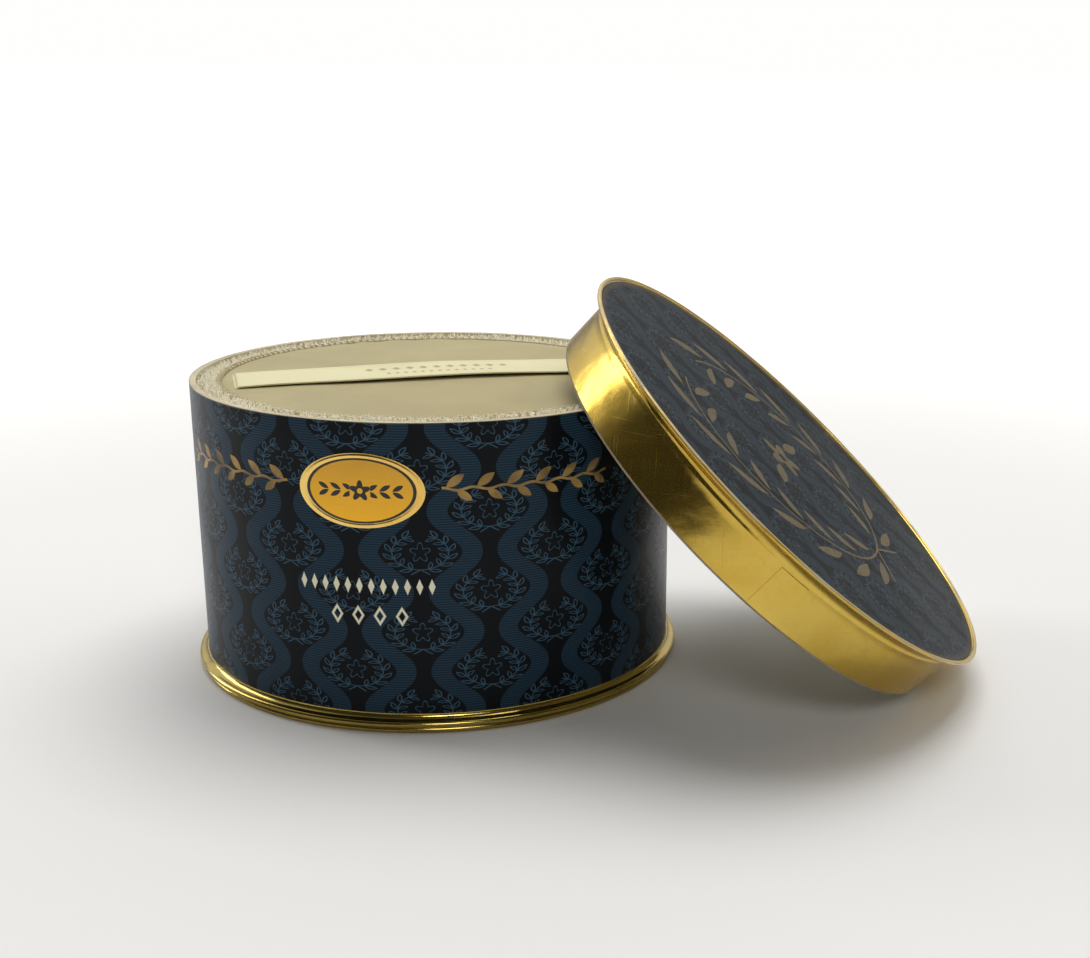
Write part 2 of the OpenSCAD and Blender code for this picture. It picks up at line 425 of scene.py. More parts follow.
cell = (u / column).math("FLOOR")
way = cell.math("FLOORED_MODULO", 2.0) * -2 + 1
turns = v * (2 * math.pi / row)
winding = turns.cos() * way * swing_out
slope = turns.sin() * (swing_out * 2 * math.pi / row)
off_band = abs(u - (cell + 0.5) * column - winding) / (slope * slope * 0.45 + 1).root()
hatch_step = 0.55
hatch = (v * (2 * math.pi / hatch_step)).cos() * 0.38 + 0.62
put("Band", (off_band - band_half).inked(0.15) * hatch)

# %% [markdown]
# ## Wear, fibre, weave and scratches
# Four more effects are shared: cloudy handling marks on print and foil, fibres in board and paper,
# an over-and-under weave in cloth, and fine scratches in foil. Each is a group that puts out a
# value, and each material decides how much of it reaches its colour, roughness or bump.

# %% Shared effect groups
def noise(tree, vector, scale, detail=3.0, distortion=0.0):
    """Smooth noise from 0 to 1."""
    node = tree.nodes.new("ShaderNodeTexNoise")
    node.inputs["Scale"].default_value = scale
    node.inputs["Detail"].default_value = detail
    node.inputs["Distortion"].default_value = distortion
    feed(tree, node.inputs["Vector"], vector)
    return Wire(tree, node.outputs["Fac"])


def stretched(tree, vector, scale, angle=0.0):
    """Coordinates turned and scaled, so that noise on them runs in streaks."""
    node = tree.nodes.new("ShaderNodeMapping")
    node.inputs["Scale"].default_value = scale
    node.inputs["Rotation"].default_value = (0, 0, angle)
    feed(tree, node.inputs["Vector"], vector)
    return Wire(tree, node.outputs["Vector"])


tree, given, put = group("handling_marks", {"Vector": None}, ["Clouds", "Specks"])
put("Clouds", noise(tree, given["Vector"], 45, 4, 0.6))
put("Specks", noise(tree, given["Vector"], 900, 2).math("POWER", 6.0))

tree, given, put = group("fibres", {"Vector": None}, ["Tone", "Height"])
lengthwise = noise(tree, stretched(tree, given["Vector"], (900, 900, 5000)), 1.0, 4)
put("Tone", noise(tree, given["Vector"], 260, 5) * 0.6 + lengthwise * 0.4)
put("Height", lengthwise)

tree, given, put = group("weave", {"X": 0.0, "Y": 0.0, "Thread": 0.5}, ["Height"])
over = (given["X"] * math.pi / given["Thread"]).sin()
under = (given["Y"] * math.pi / given["Thread"]).sin()
put("Height", (over * under) * 0.5 + 0.5)

tree, given, put = group("scratches", {"Vector": None}, ["Lines", "Waves"])
one_way = noise(tree, stretched(tree, given["Vector"], (60, 60, 4000), 0.3), 1.0, 2, 0.3)
other_way = noise(tree, stretched(tree, given["Vector"], (3500, 70, 90), 0.9), 1.0, 2, 0.3)
put("Lines", (one_way.math("POWER", 9.0)).most(other_way.math("POWER", 9.0)))
put("Waves", noise(tree, given["Vector"], 55, 2, 0.4) + noise(tree, given["Vector"], 330, 2) * 0.07)

# %% [markdown]
# ## Finishes
# Each finish is a short function that builds one material round a Principled shader. Colours that
# change over the surface come through the sockets, and everything that is the same all over is set
# on the shader itself.

# %% Material helpers
def finish(name, **settings):
    """A new material. Returns it, its tree, the shader and the object coordinates."""
    material = bpy.data.materials.new(name)
    material.use_nodes = True
    tree = material.node_tree
    shader = tree.nodes["Principled BSDF"]
    for label, value in settings.items():
        shader.inputs[label.replace("_", " ")].default_value = value
    place = tree.nodes.new("ShaderNodeTexCoord")
    return material, tree, shader, Wire(tree, place.outputs["Object"])


def lid_space(tree, vector):
    """Object coordinates turned back into the lid's own upright place."""
    node = tree.nodes.new("ShaderNodeMapping")
    node.vector_type = "TEXTURE"
    node.inputs["Location"].default_value = lid_centre
    node.inputs["Rotation"].default_value = (0, lean, 0)
    feed(tree, node.inputs["Vector"], vector)
    return Wire(tree, node.outputs["Vector"])


def split(tree, vector):
    """The three coordinates in millimetres."""
    node = tree.nodes.new("ShaderNodeSeparateXYZ")
    feed(tree, node.inputs["Vector"], vector)
    return [Wire(tree, socket) * (1 / mm) for socket in node.outputs]


def blend(tree, amount, first, second):
    """A colour that goes from first to second as amount goes from 0 to 1."""
    node = tree.nodes.new("ShaderNodeMix")
    node.data_type = "RGBA"
    feed(tree, node.inputs["Factor"], amount)
    colour_a, colour_b = [s for s in node.inputs if s.type == "RGBA"]
    for slot, value in ((colour_a, first), (colour_b, second)):
        feed(tree, slot, value if isinstance(value, Wire) else (*value, 1))
    colour = next(s for s in node.outputs if s.type == "RGBA")
    return Wire(tree, colour)


def bump(tree, shader, height, distance, strength=1.0):
    """Raises the surface by a height from 0 to 1, times a distance in metres."""
    node = tree.nodes.new("ShaderNodeBump")
    node.inputs["Distance"].default_value = distance
    node.inputs["Strength"].default_value = strength
    feed(tree, node.inputs["Height"], height)
    tree.links.new(node.outputs["Normal"], shader.inputs["Normal"])


def dress(node, material):
    """Gives a carried-over CAD node its finish."""
    slots = nodes[node].data.materials
    slots.clear()
    slots.append(material)


# %% [markdown]
# ## Lacquered navy paper
# The wrap is near-black paper printed in slate blue, with a gold row of leaves above and a small
# cream row under the seal, and a thin lacquer over all of it. The angle round the drum times its
# radius unrolls the paper, so the patterns are laid out flat in millimetres. The lid's face uses
# the same paper, but there the plane's own two directions take the place of the unrolled ones.

# %% Navy paper helpers
ink_ground = (0.0022, 0.0036, 0.0056)
ink_band = (0.019, 0.053, 0.090)
ink_line = (0.037, 0.090, 0.140)
ink_cream = (0.92, 0.88, 0.66)


def paper_print(tree, shader, place, u, v, band=ink_band, line=ink_line):
    """The two blues of the repeat, and the lacquer's marks."""
    ink = use(tree, "navy_repeat", U=u, V=v)
    colour = blend(tree, ink["Band"], ink_ground, band)
    colour = blend(tree, ink["Wreath"], colour, line)
    marks = use(tree, "handling_marks", Vector=place)
    feed(tree, shader.inputs["Roughness"], marks["Clouds"] * 0.22 + 0.24 + marks["Specks"] * 0.5)
    return colour, marks


def rubbed(tree, colour, amount, worn=(0.16, 0.13, 0.10)):
    """The paper's brown core where an edge has rubbed through."""
    return blend(tree, amount, colour, worn)


def lozenges(x, y, wide, high, pitch):
    """A row of lozenges, as a distance."""
    return abs(x.folded(pitch)) / wide + abs(y) / high - 1


# %% Drum paper
drum_paper, tree, shader, place = finish(
    "navy_drum_paper", Coat_Weight=0.05, Coat_Roughness=0.15, Specular_IOR_Level=0.10
)
x, y, z = split(tree, place)
u = x.math("ARCTAN2", y * -1) * (drum_r / mm)
colour, marks = paper_print(tree, shader, place, u + 2.6, z - 13.7)

row_z = (rim_z - 14 * mm) / mm
spray_middle, spray_half, sprig_step = 36.2, 19.3, 6.4
beside = abs(u) - spray_middle
on_row = abs(beside).below(spray_half)
sprig_x = (beside + sprig_step / 2).folded(sprig_step)
stalk = abs(z - row_z + (sprig_x * 1.0).cos() * 0.3) - 0.28
upper_leaf = use(
    tree, "leaf_edge", Along=sprig_x + 0.5, Across=z - row_z - 1.75, Length=2.3, Width=0.95, Tilt=0.62,
)
lower_leaf = use(
    tree, "leaf_edge", Along=sprig_x - 1.4, Across=z - row_z + 1.5, Length=2.0, Width=0.85, Tilt=-0.62,
)
sprigs = upper_leaf["Distance"].least(lower_leaf["Distance"]).least(stalk)
flaked = (marks["Specks"] * -2.2 + 1).math("MAXIMUM", 0.0)
dulled = (noise(tree, place, 120, 2) * 3.0 - 1.1).math("MAXIMUM", 0.0).math("MINIMUM", 1.0)
row_gold = blend(tree, dulled, (0.17, 0.11, 0.045), (0.50, 0.32, 0.10))
colour = blend(tree, sprigs.inked(0.12) * on_row * flaked, colour, row_gold)

upper_row_z, lower_row_z = 32.8, 26.2
upper_row = lozenges(u - 1.485, z - upper_row_z, 0.72, 1.75, 2.57).inked(0.15)
upper_row = upper_row * abs(u - 0.2).below(15.4)
lower_row = lozenges(u - 3.115, z - lower_row_z, 1.35, 2.2, 4.73)
lower_row = (abs(lower_row + 0.22) - 0.22).inked(0.15)
lower_row = lower_row * abs(u - 0.75).below(9.45)
colour = blend(tree, upper_row.most(lower_row), colour, ink_cream)

rim_wear = (z - rim_z / mm + 0.25) / 0.3 + marks["Clouds"] * 1.6 - 0.8
rim_wear = rim_wear.math("MINIMUM", 1.0).math("MAXIMUM", 0.0)
colour = rubbed(tree, colour, rim_wear * 0.8, (0.30, 0.25, 0.17))
feed(tree, shader.inputs["Base Color"], colour)
bump(tree, shader, marks["Clouds"], 0.25 * mm, 0.5)
dress("drum_wrap", drum_paper)
print("column", round(column, 2), "mm")


# %% [markdown]
# ## The lid's printed face
# The same paper covers the lid, with one large laurel wreath in dull gold, open at the high side,
# and a small blossom in the middle. It is the laurel group again with larger, filled leaves. The
# coordinates are first turned back into the lid's upright place, so the print follows the slope.

# %% Lid paper
lid_paper, tree, shader, place = finish("navy_lid_paper", Specular_IOR_Level=0.05)
down, over, out = split(tree, lid_space(tree, place))
# The lid carries the same print as the drum, so these darker, greyer inks are painted shade and painted
# sheen, not fading.
lid_shaded_band, lid_shaded_line = (0.021, 0.036, 0.049), (0.038, 0.060, 0.076)
colour, marks = paper_print(tree, shader, place, over + 4.0, down + 6.0, lid_shaded_band, lid_shaded_line)
x, y = over + 2.0, (down + 3.0) * -1
wreath = use(
    tree, "laurel", X=x, Y=y, Half_width=33.0, Half_height=31.0,
    Pairs=9.0, Leaf=5.8, Line=0.3, Fill=1.0, Slim=0.25, Tilt=0.55,
)["Ink"]
radius = (x * x + y * y).root()
petals = radius - (x.math("ARCTAN2", y) * 5).cos() * 1.6 - 4.6
heart = radius - 1.3
side_leaf = use(tree, "leaf_edge", Along=abs(x) - 11.5, Across=y + 1.0, Length=5.0, Width=1.7, Tilt=-0.25)
blossom = petals.most(heart * -1).least(side_leaf["Distance"])
dull = marks["Clouds"] * 0.5 + 0.45 - marks["Specks"] * 1.6
gold = wreath.most(blossom.inked(0.3)) * dull.math("MAXIMUM", 0.1).math("MINIMUM", 0.9)
colour = blend(tree, gold, colour, (0.20, 0.15, 0.075))
edge = (over * over + down * down).root() - print_r / mm + 1.3
colour = rubbed(tree, colour, (edge * -1).inked(1.2) * 0.75, (0.075, 0.055, 0.04))
feed(tree, shader.inputs["Base Color"], colour)
bump(tree, shader, marks["Clouds"], 0.3 * mm, 0.5)
dress("lid_print", lid_paper)

# %% [markdown]
# ## Gold foil
# The metal here is thin foil glued over board. It is a mirror, but a soft one: it waves where the
# glue took unevenly and has fine scratches from handling. Waves go into the bump, scratches into
# the roughness, and brown tarnish into the colour.

# %% Foil
def foil(name, tint, dark, shine, worn=None):
    """Foil of one tint with darker tarnish. worn may say where it has rubbed through to paper."""
    material, tree, shader, place = finish(name, Metallic=1.0)
    marks = use(tree, "handling_marks", Vector=place)
    lines = use(tree, "scratches", Vector=place)
    tarnish = (marks["Clouds"] * 1.6 - 0.45).math("MAXIMUM", 0.0).math("MINIMUM", 1.0)
    colour = blend(tree, tarnish, tint, dark)
    colour = blend(tree, marks["Specks"] * 0.5, colour, (0.10, 0.05, 0.015))
    roughness = lines["Lines"] * 1.5 + marks["Clouds"] * 0.10 + shine
    if worn:
        bare_paper = worn(tree, place, marks)
        colour = rubbed(tree, colour, bare_paper, (0.50, 0.42, 0.28))
        roughness = roughness + bare_paper * 0.5
        feed(tree, shader.inputs["Metallic"], bare_paper * -0.9 + 1)
    feed(tree, shader.inputs["Base Color"], colour)
    feed(tree, shader.inputs["Roughness"], roughness)
    bump(tree, shader, lines["Waves"] + lines["Lines"] * -0.08, 1.2 * mm, 0.45)
    return material, tree, shader, place, colour


def lip_wear(tree, place, marks):
    """Where the foil has rubbed off the crest of the lid's lip, in lengths along it."""
    down, over, out = split(tree, lid_space(tree, place))
    patches = (noise(tree, place, 130, 3) * 3.2 - 1.15).math("MINIMUM", 1.0).math("MAXIMUM", 0.25)
    crest = (out * -1 + (lid_h / mm - 0.42)).inked(0.30)
    return crest * patches


gold_foil = foil("gold_foil", (0.72, 0.53, 0.12), (0.56, 0.33, 0.035), 0.14, lip_wear)[0]
foot_gold = foil("foot_gold_foil", (0.52, 0.39, 0.10), (0.30, 0.21, 0.05), 0.10)[0]

# %% Seal foil
seal_foil, tree, shader, place, colour = foil("seal_foil", (0.95, 0.66, 0.20), (0.80, 0.46, 0.10), 0.14)
x, y, z = split(tree, place)
seal_half_w = seal_high.x / mm
seal_half_h = (seal_high.z - seal_low.z) / 2 / mm
centre_z = (seal_high.z + seal_low.z) / 2 / mm
x = x / seal_half_w
y = (z - centre_z) / seal_half_h
oval = (x * x + y * y).root()
rim_line = 0.845
# The seal's centre is amber. It is painted darker at the top and brighter orange at the bottom, which is
# a painted reflection, not a change in the foil.
amber_with_painted_reflection = (y * 0.5 + 0.5).math("MAXIMUM", 0.0).math("MINIMUM", 1.0)
amber_with_painted_reflection = blend(tree, amber_with_painted_reflection, (0.85, 0.44, 0.035), (0.55, 0.30, 0.05))
colour = blend(tree, (oval - 0.84).inked(0.03), colour, amber_with_painted_reflection)
line = (abs(oval - rim_line) - 0.026).inked(0.012)
across_mm, up_mm = x * seal_half_w, y * seal_half_h
radius = (across_mm * across_mm + up_mm * up_mm).root()
petals = radius - (across_mm.math("ARCTAN2", up_mm) * 5).cos() * 0.55 - 1.75
sprig = use(
    tree, "leaf_edge", Along=(abs(across_mm) - 5.3).folded(2.7), Across=abs(up_mm) - 0.75,
    Length=1.35, Width=0.5, Tilt=0.5,
)["Distance"]
sprig = sprig.most(abs(abs(across_mm) - 5.6) - 3.4)
ink = line.most(petals.most(radius * -1 + 0.6).inked(0.08)).most(sprig.inked(0.08))
colour = blend(tree, ink, colour, (0.006, 0.005, 0.004))
feed(tree, shader.inputs["Base Color"], colour)
feed(tree, shader.inputs["Metallic"], ink * -1 + 1)

# %% [markdown]
# ## Board, lining papers and cloths
# These are dull, so their detail is in fibres, threads and tone. The same fibre group serves the
# board, the lining paper, the wadding and the cut pile, each at its own colour and depth.

# %% Fibrous finishes
def fibrous(name, light, dark, rough=0.85, depth=0.15, **settings):
    """A dull finish with fibres in its tone and its bump, which is depth millimetres deep."""
    material, tree, shader, place = finish(name, Roughness=rough, **settings)
    fibre = use(tree, "fibres", Vector=place)
    marks = use(tree, "handling_marks", Vector=place)
    tone = (fibre["Tone"] * 0.7 + marks["Clouds"] * 0.6 - 0.65) * 3.0 + 0.5
    tone = tone.math("MAXIMUM", 0.0).math("MINIMUM", 1.0)
    colour = blend(tree, tone, dark, light)
    feed(tree, shader.inputs["Base Color"], colour)
    bump(tree, shader, fibre["Height"], depth * mm, 0.6)
    return material, tree, shader, place, colour


grey_board = fibrous("grey_board", (0.40, 0.33, 0.22), (0.24, 0.19, 0.12))[0]
pale_board = fibrous("pale_rim_board", (0.62, 0.55, 0.38), (0.42, 0.36, 0.23))[0]
lining = fibrous("lining_paper", (0.72, 0.66, 0.48), (0.56, 0.50, 0.34), 0.7, 0.08)[0]
dark_paper = fibrous("underside_paper", (0.014, 0.018, 0.024), (0.006, 0.008, 0.011), 0.5, 0.08)[0]
wadding = fibrous("cotton_wadding", (0.78, 0.74, 0.62), (0.62, 0.58, 0.46), 0.95, 0.6)[0]
talc = fibrous("talcum", (0.86, 0.83, 0.77), (0.74, 0.70, 0.63), 0.95, 0.3)[0]
pile_wool = fibrous(
    "cut_pile", (0.97, 0.94, 0.80), (0.90, 0.84, 0.67), 0.9, 0.3,
    Sheen_Weight=0.5, Sheen_Roughness=0.4, Sheen_Tint=(0.95, 0.87, 0.66, 1),
)[0]

for node in ("foot_hoop", "base_board", "base_ring", "inner_sleeve"):
    dress(node, grey_board)
for node in ("lid_skirt", "lid_board", "lid_lip_hoop"):
    dress(node, grey_board)
dress("drum_tube", pale_board)
for node in ("drum_liner", "base_lining", "lid_lining", "lid_inner_paper"):
    dress(node, lining)
dress("base_outer_paper", dark_paper)
dress("puff_filling", wadding)


# %% Cloth finishes
ribbon_turn = math.radians(25)


def woven(name, light, dark, thread, rough=0.8, depth=0.12, **settings):
    """A plain weave that follows the object's own X and Y, turned along the ribbon."""
    material, tree, shader, place = finish(name, Roughness=rough, **settings)
    node = tree.nodes.new("ShaderNodeMapping")
    node.vector_type = "TEXTURE"
    node.inputs["Rotation"].default_value = (0, 0, ribbon_turn)
    feed(tree, node.inputs["Vector"], place)
    along, beside, height = split(tree, Wire(tree, node.outputs["Vector"]))
    marks = use(tree, "handling_marks", Vector=place)
    cross = use(tree, "weave", X=along, Y=beside, Thread=thread)["Height"]
    tone = (cross * 0.45 + marks["Clouds"] * 1.5 - 0.5).math("MAXIMUM", 0.0).math("MINIMUM", 1.0)
    colour = blend(tree, tone, dark, light)
    bump(tree, shader, cross, depth * mm, 0.6)
    return material, tree, shader, along, beside, colour, marks


cotton, tree, shader, along, beside, colour, marks = woven(
    "woven_cotton", (0.45, 0.38, 0.165), (0.335, 0.275, 0.11), 0.42,
    Sheen_Weight=0.25, Sheen_Roughness=0.5,
)
feed(tree, shader.inputs["Base Color"], colour)

satin, tree, shader, along, beside, colour, marks = woven(
    "satin_ribbon", (0.80, 0.745, 0.43), (0.66, 0.60, 0.32), 0.22, 0.42, 0.03,
    Sheen_Weight=0.2, Sheen_Roughness=0.3, Anisotropic=0.5,
)
along = along - 1.0
upper_marks = lozenges(along, beside - 2.6, 1.05, 1.5, 3.2).inked(0.3) * abs(along).below(17.6)
lower_marks = lozenges(along, beside + 2.4, 0.6, 0.9, 2.0).inked(0.3) * abs(along).below(13.0)
colour = blend(tree, upper_marks.most(lower_marks) * 0.8, colour, (0.26, 0.19, 0.07))
selvedge = (abs(abs(beside) - 7.3) - 0.35).inked(0.2)
colour = blend(tree, selvedge * 0.35, colour, (0.50, 0.44, 0.22))
feed(tree, shader.inputs["Base Color"], colour)

thread = fibrous("sewing_thread", (0.72, 0.65, 0.44), (0.58, 0.51, 0.32), 0.7, 0.1)[0]
print("finishes", len(bpy.data.materials))


# %% [markdown]
# ## Turning a section into a ring
# Foil, puff and powder are all round, so each can be drawn as half a cross-section and turned. Spin
# would do it, but it leaves a seam to close. Here a circle is extruded upward ring by ring and each
# new ring is scaled to its radius, which closes by itself and keeps the rings even. Tufts, loops and
# tacks are the other kind of work: one is modelled, and its copies are placed and joined.

# %% Modelling helpers
def named(name):
    """Names the object in hand and its mesh."""
    piece = bpy.context.object
    piece.name = name
    piece.data.name = name
    return piece


def place_in_mesh(piece):
    """Moves the object's own place and turn into its mesh."""
    bare()
    piece.select_set(True)
    bpy.context.view_layer.objects.active = piece
    bpy.ops.object.transform_apply(location=True, rotation=True, scale=True)


def harden(piece, kind, **settings):
    """Adds a modifier and applies it."""
    bare()
    piece.select_set(True)
    bpy.context.view_layer.objects.active = piece
    modifier = piece.modifiers.new(kind.lower(), kind)
    for label, value in settings.items():
        setattr(modifier, label, value)
    bpy.ops.object.modifier_apply(modifier=modifier.name)


def lathe(name, section, around=192, fill_end=False):
    """A ring from a list of (radius, height) points in metres, bottom end first."""
    bare()
    (radius, height), *others = section
    bpy.ops.mesh.primitive_circle_add(vertices=around, radius=radius, location=(0, 0, 0))
    piece = named(name)
    bpy.ops.object.mode_set(mode="EDIT")
    bpy.ops.mesh.select_all(action="SELECT")
    bpy.ops.transform.translate(value=(0, 0, height))
    for next_radius, next_height in others:
        rise = next_height - height
        bpy.ops.mesh.extrude_edges_move(TRANSFORM_OT_translate={"value": (0, 0, rise)})
        factor = next_radius / radius
        bpy.ops.transform.resize(value=(factor, factor, 1), center_override=(0, 0, next_height))
        radius, height = next_radius, next_height
    if fill_end:
        bpy.ops.mesh.edge_face_add()
    bpy.ops.mesh.select_all(action="SELECT")
    bpy.ops.mesh.normals_make_consistent(inside=False)
    bpy.ops.object.mode_set(mode="OBJECT")
    return piece


def closed(piece, holes=True):
    """Turns all faces outward, after closing what is open if holes is true."""
    bare()
    piece.select_set(True)
    bpy.context.view_layer.objects.active = piece
    bpy.ops.object.mode_set(mode="EDIT")
    bpy.ops.mesh.select_all(action="SELECT")
    if holes:
        bpy.ops.mesh.fill_holes(sides=0)
    bpy.ops.mesh.normals_make_consistent(inside=False)
    bpy.ops.object.mode_set(mode="OBJECT")


def placed_copy(source, place):
    """A copy with a mesh of its own, at the place that a matrix gives."""
    copy = bpy.data.objects.new(source.name, source.data.copy())
    scene.collection.objects.link(copy)
    copy.matrix_world = place
    return copy


def join_copies(source, copies, onto):
    """Joins the copies onto one of them, or onto another piece, and drops the one they came from."""
    bare()
    bpy.data.objects.remove(source)
    for copy in copies:
        copy.select_set(True)
    onto.select_set(True)
    bpy.context.view_layer.objects.active = onto
    bpy.ops.object.join()


def smooth(piece, degrees):
    """Smooth shading, but not over edges sharper than this."""
    bare()
    piece.select_set(True)
    bpy.context.view_layer.objects.active = piece
    bpy.ops.object.shade_smooth_by_angle(angle=math.radians(degrees))


def settle(piece, body, slot, material, *stands_for):
    """Finishes a piece: its material, the body that it rides on and the CAD nodes that it replaces."""
    piece.data.materials.clear()
    piece.data.materials.append(material)
    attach(piece, body)
    if stands_for:
        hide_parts(*stands_for)
    sides = [v.co for v in piece.data.vertices]
    low = [round(min(c[i] for c in sides) / mm, 1) for i in range(3)]
    high = [round(max(c[i] for c in sides) / mm, 1) for i in range(3)]
    print(piece.name, low, high, len(piece.data.polygons), "faces")


def quarter(r, z0, out, z1, steps=8):
    """A trumpet curve that leaves the wall upright and ends level."""
    turns = [math.pi / 2 * i / steps for i in range(steps + 1)]
    return [(r + out * (1 - math.cos(a)), z0 + (z1 - z0) * math.sin(a)) for a in turns]


def bead(r, z, radius, first, last, steps=8):
    """An arc of a small round bead, in degrees."""
    turns = [math.radians(first + (last - first) * i / steps) for i in range(steps + 1)]
    return [(r + radius * math.cos(a), z + radius * math.sin(a)) for a in turns]


# %% [markdown]
# ## Gentle random shape
# Nothing handmade is quite even. Smooth noise bends larger forms, and random draws vary each tuft
# and stitch. The draws are seeded, so the model comes out the same each time.

# %% Gentle random shape
import random

from mathutils import noise as field

# %% [markdown]
# ## Gold foot
# The drum stands on a board hoop covered in foil, pressed into a hollow flare with two beads under
# it. The section follows that from the top edge down, and Solidify gives the foil its thickness on
# the inside, so the outside keeps its size.

# %% Gold foot
thin = 0.12 * mm
bead_r = 0.7 * mm
upper_bead = foot_r - bead_r
section = [(drum_r, foot_top)]
section += quarter(drum_r, foot_top, upper_bead - drum_r, 2.8 * mm)[1:]
section += bead(upper_bead, 2.1 * mm, bead_r, 70, -60)
section += bead(upper_bead - 0.5 * mm, 0.7 * mm, bead_r, 60, -80)
foot = lathe("gold_foot", section[::-1])
harden(foot, "SOLIDIFY", thickness=thin, offset=-1)
smooth(foot, 30)
settle(foot, "drum", "gold_foil", foot_gold, "foot_foil")

# %% [markdown]
# ## Foil on the lid
# One strip of foil goes round the lid, is pressed out over a hoop into a flared lip, and ends just
# past the edge of the printed face. Its two ends lap, which shows as a thicker strip. The lap is
# made by picking the faces at that angle and extruding them outward. Foil glued by hand isn't quite
# round either, so a very slight wobble bends its reflections.

# %% Lid foil
wall = skirt_r + 0.15 * mm
flare_z = 11.9 * mm
lip_mid = lip_r - 0.5 * mm
crease = wall + 0.12 * mm
section = [(wall, foil_low + i * 1.3 * mm) for i in range(9)]
section += [(crease, flare_z - 0.6 * mm), (crease, flare_z - 0.4 * mm), (wall, flare_z)]
section += quarter(wall, flare_z, lip_mid - wall, lid_h - 1 * mm)[1:]
section += bead(lip_mid, lid_h - 0.5 * mm, 0.5 * mm, -70, 180)
section += [(print_r, print_low)]
lid_foil = lathe("lid_gold_foil", section, 240)
harden(lid_foil, "SOLIDIFY", thickness=thin, offset=-1)
bpy.ops.object.mode_set(mode="EDIT")
bpy.ops.mesh.select_mode(type="FACE")
bpy.ops.mesh.select_all(action="DESELECT")
bpy.ops.object.mode_set(mode="OBJECT")
lap_turn = math.radians(280)
lap_half = 4 * mm
for face in lid_foil.data.polygons:
    turned = math.atan2(face.center.y, face.center.x) - lap_turn
    off = (turned + math.pi) % (2 * math.pi) - math.pi
    outside = face.normal.x * face.center.x + face.normal.y * face.center.y > 0
    face.select = abs(off) * skirt_r < lap_half and outside and face.center.z < flare_z - 0.9 * mm
lapped = sum(face.select for face in lid_foil.data.polygons)
bpy.ops.object.mode_set(mode="EDIT")
bpy.ops.mesh.extrude_region_shrink_fatten(TRANSFORM_OT_shrink_fatten={"value": 0.15 * mm})
bpy.ops.object.mode_set(mode="OBJECT")
for vertex in lid_foil.data.vertices:
    wobble = field.noise(vertex.co / (13 * mm)) * 0.05 + field.noise(vertex.co / (4.5 * mm)) * 0.012
    if vertex.co.z < flare_z - 1 * mm:
        vertex.co += Vector((vertex.co.x, vertex.co.y, 0)).normalized() * max(0.0, wobble) * mm
smooth(lid_foil, 30)
lid_foil.data.transform(lid_place)
settle(lid_foil, "lid", "gold_foil", gold_foil, "lid_foil")
print("lap faces", lapped)

# %% [markdown]
# ## Oval seal
# A small oval of gold foil is stuck on the front, over the gold row. It is a flat disc of close
# rings, flattened to an oval in front of the drum. Shrinkwrap could press it onto the paper, but it
# copies the flat facets of its target, so each point is set on the true circle instead.

# %% Oval seal
middle_z = (seal_low.z + seal_high.z) / 2
steps = [1, 0.99] + [0.975 - 0.015 * i for i in range(8)] + [0.8 - 0.1 * i for i in range(8)] + [0.02]
seal = lathe("gold_oval_seal", [(step * seal_high.x, 0) for step in steps], 96, fill_end=True)
seal.rotation_euler = (math.pi / 2, 0, 0)
seal.scale = (1, (seal_high.z - seal_low.z) / 2 / seal_high.x, 1)
seal.location = (0, -drum_r - 5 * mm, middle_z)
place_in_mesh(seal)
for vertex in seal.data.vertices:
    flat_x, flat_z = vertex.co.x / seal_high.x, (vertex.co.z - middle_z) / (seal_high.z - middle_z)
    from_middle = math.hypot(flat_x, flat_z)
    raised = 0.19 + 0.09 * math.exp(-((from_middle - 0.93) / 0.035) ** 2)
    vertex.co.y = -math.sqrt((drum_r + raised * mm) ** 2 - vertex.co.x ** 2)
closed(seal, holes=False)
if seal.data.polygons[0].normal.y > 0:
    seal.data.flip_normals()
harden(seal, "SOLIDIFY", thickness=0.1 * mm, offset=-1)
smooth(seal, 60)
settle(seal, "drum", "gold_foil", seal_foil, "oval_seal")

# %% [markdown]
# ## Puff
# The puff is a thick pad of cut wool pile with a round of woven cotton sewn on top. Its body is a
# turned section whose surface is pushed about by smooth noise. The fuzzy border and sides are what
# shows, so short tufts stand in them: one tuft is modelled, copied, tilted at random and joined.

# %% Pile body
round_r = 3 * mm
pile_top = puff_high.z
pile_r = puff_high.x - 0.3 * mm
inner = pile_r - round_r
section = [(2 * mm, puff_low.z), (20 * mm, puff_low.z), (38 * mm, puff_low.z)]
section += bead(inner, puff_low.z + round_r, round_r, -90, 0, 7)
section += [(pile_r, (puff_low.z + pile_top) / 2)]
section += bead(inner, pile_top - round_r, round_r, 0, 90, 7)
section += [(47 * mm, pile_top), (38 * mm, pile_top - 0.2 * mm), (20 * mm, pile_top - 0.2 * mm)]
section += [(2 * mm, pile_top - 0.2 * mm)]
pile = lathe("puff_pile_pad", section, 240, fill_end=True)
closed(pile)
for vertex in pile.data.vertices:
    lump = field.noise(vertex.co / (2.6 * mm)) * 0.28 + field.noise(vertex.co / (9 * mm)) * 0.15
    inward = Vector((vertex.co.x, vertex.co.y, 0)).normalized()
    top = vertex.co.z > (puff_low.z + pile_top) / 2
    vertex.co -= inward * (0.25 + lump) * mm * 0.5
    vertex.co.z += (lump - 0.2) * mm * (1 if top else -0.2)
print("pile body", len(pile.data.polygons), "faces")

